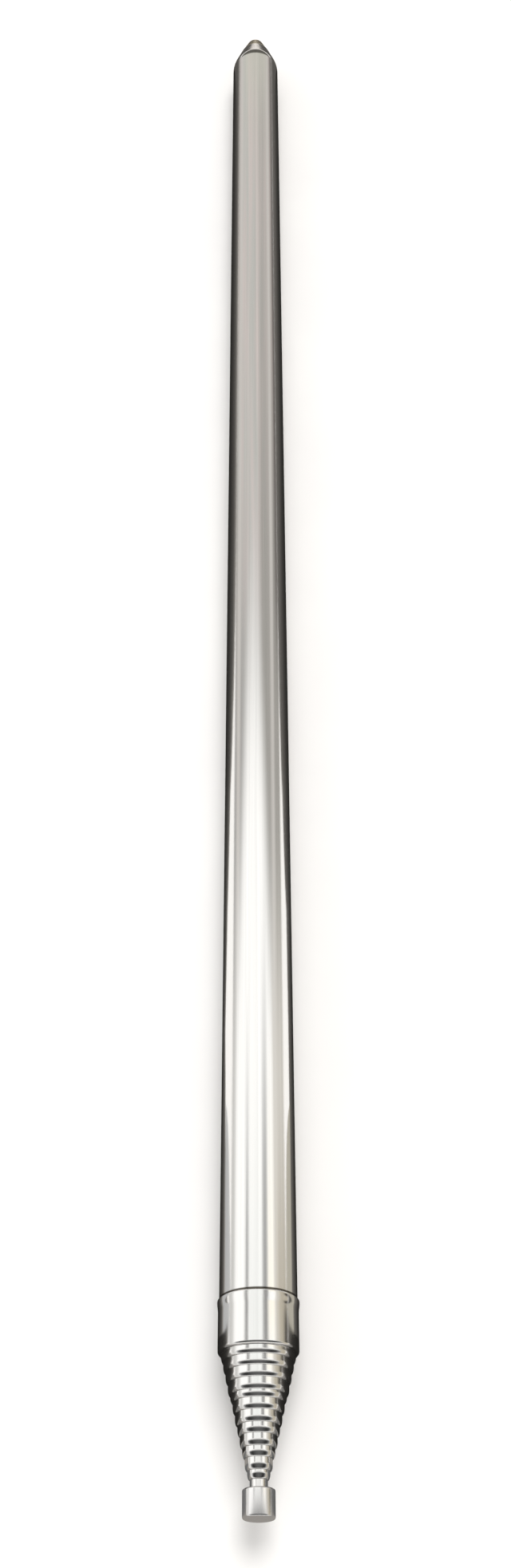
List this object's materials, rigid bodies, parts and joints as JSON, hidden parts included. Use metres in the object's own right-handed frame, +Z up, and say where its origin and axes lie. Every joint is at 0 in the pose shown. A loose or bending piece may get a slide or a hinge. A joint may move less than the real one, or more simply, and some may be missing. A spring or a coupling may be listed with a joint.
{
  "type": "telescopic antenna",
  "caption": "Telescopic whip antenna: thin stainless tubes that slide in one another with rolled mouths, a ferrule, a plain tip cap and a tapered base with a threaded brass nub",
  "frame": {"origin": "centre of the base plug's end face, at the mouth of the threaded hole", "axes": "+Y out of the threaded hole along the antenna's axis, the tip towards -Y, +Z up"},
  "size_m": [0.0158, 0.4761, 0.0158],
  "materials": {
    "stainless": "bright drawn stainless steel with fine lengthwise lines",
    "brass": "turned brass, slightly dull",
    "bronze": "rolled spring bronze strip"
  },
  "bodies": {
    "section_01": {"outer_tube": "stainless", "mouth_ferrule": "stainless", "base_plug": "brass"},
    "section_02": {"tube_02": "stainless", "friction_spring_02": "bronze"},
    "section_03": {"tube_03": "stainless", "friction_spring_03": "bronze"},
    "section_04": {"tube_04": "stainless", "friction_spring_04": "bronze"},
    "section_05": {"tube_05": "stainless", "friction_spring_05": "bronze"},
    "section_06": {"tube_06": "stainless", "friction_spring_06": "bronze"},
    "section_07": {"tube_07": "stainless", "friction_spring_07": "bronze"},
    "section_08": {"tube_08": "stainless", "friction_spring_08": "bronze"},
    "section_09": {"tube_09": "stainless", "friction_spring_09": "bronze"},
    "section_10": {"tube_10": "stainless", "friction_spring_10": "bronze"},
    "section_11": {"tube_11": "stainless", "friction_spring_11": "bronze"},
    "section_12": {"tube_12": "stainless", "friction_spring_12": "bronze"},
    "section_13": {"tube_13": "stainless", "friction_spring_13": "bronze"},
    "section_14": {"rod": "stainless", "tip_cap": "stainless", "friction_spring_14": "bronze"}
  },
  "joints": [
    {"name": "slide_02", "type": "slide", "parent": "section_01", "child": "section_02", "axis": [0, -1, 0], "range_m": [0, 0.4015]},
    {"name": "slide_03", "type": "slide", "parent": "section_02", "child": "section_03", "axis": [0, -1, 0], "range_m": [0, 0.4014]},
    {"name": "slide_04", "type": "slide", "parent": "section_03", "child": "section_04", "axis": [0, -1, 0], "range_m": [0, 0.4012]},
    {"name": "slide_05", "type": "slide", "parent": "section_04", "child": "section_05", "axis": [0, -1, 0], "range_m": [0, 0.4019]},
    {"name": "slide_06", "type": "slide", "parent": "section_05", "child": "section_06", "axis": [0, -1, 0], "range_m": [0, 0.402]},
    {"name": "slide_07", "type": "slide", "parent": "section_06", "child": "section_07", "axis": [0, -1, 0], "range_m": [0, 0.4012]},
    {"name": "slide_08", "type": "slide", "parent": "section_07", "child": "section_08", "axis": [0, -1, 0], "range_m": [0, 0.4014]},
    {"name": "slide_09", "type": "slide", "parent": "section_08", "child": "section_09", "axis": [0, -1, 0], "range_m": [0, 0.4014]},
    {"name": "slide_10", "type": "slide", "parent": "section_09", "child": "section_10", "axis": [0, -1, 0], "range_m": [0, 0.4014]},
    {"name": "slide_11", "type": "slide", "parent": "section_10", "child": "section_11", "axis": [0, -1, 0], "range_m": [0, 0.4014]},
    {"name": "slide_12", "type": "slide", "parent": "section_11", "child": "section_12", "axis": [0, -1, 0], "range_m": [0, 0.4017]},
    {"name": "slide_13", "type": "slide", "parent": "section_12", "child": "section_13", "axis": [0, -1, 0], "range_m": [0, 0.4023]},
    {"name": "slide_14", "type": "slide", "parent": "section_13", "child": "section_14", "axis": [0, -1, 0], "range_m": [0, 0.4023]}
  ]
}
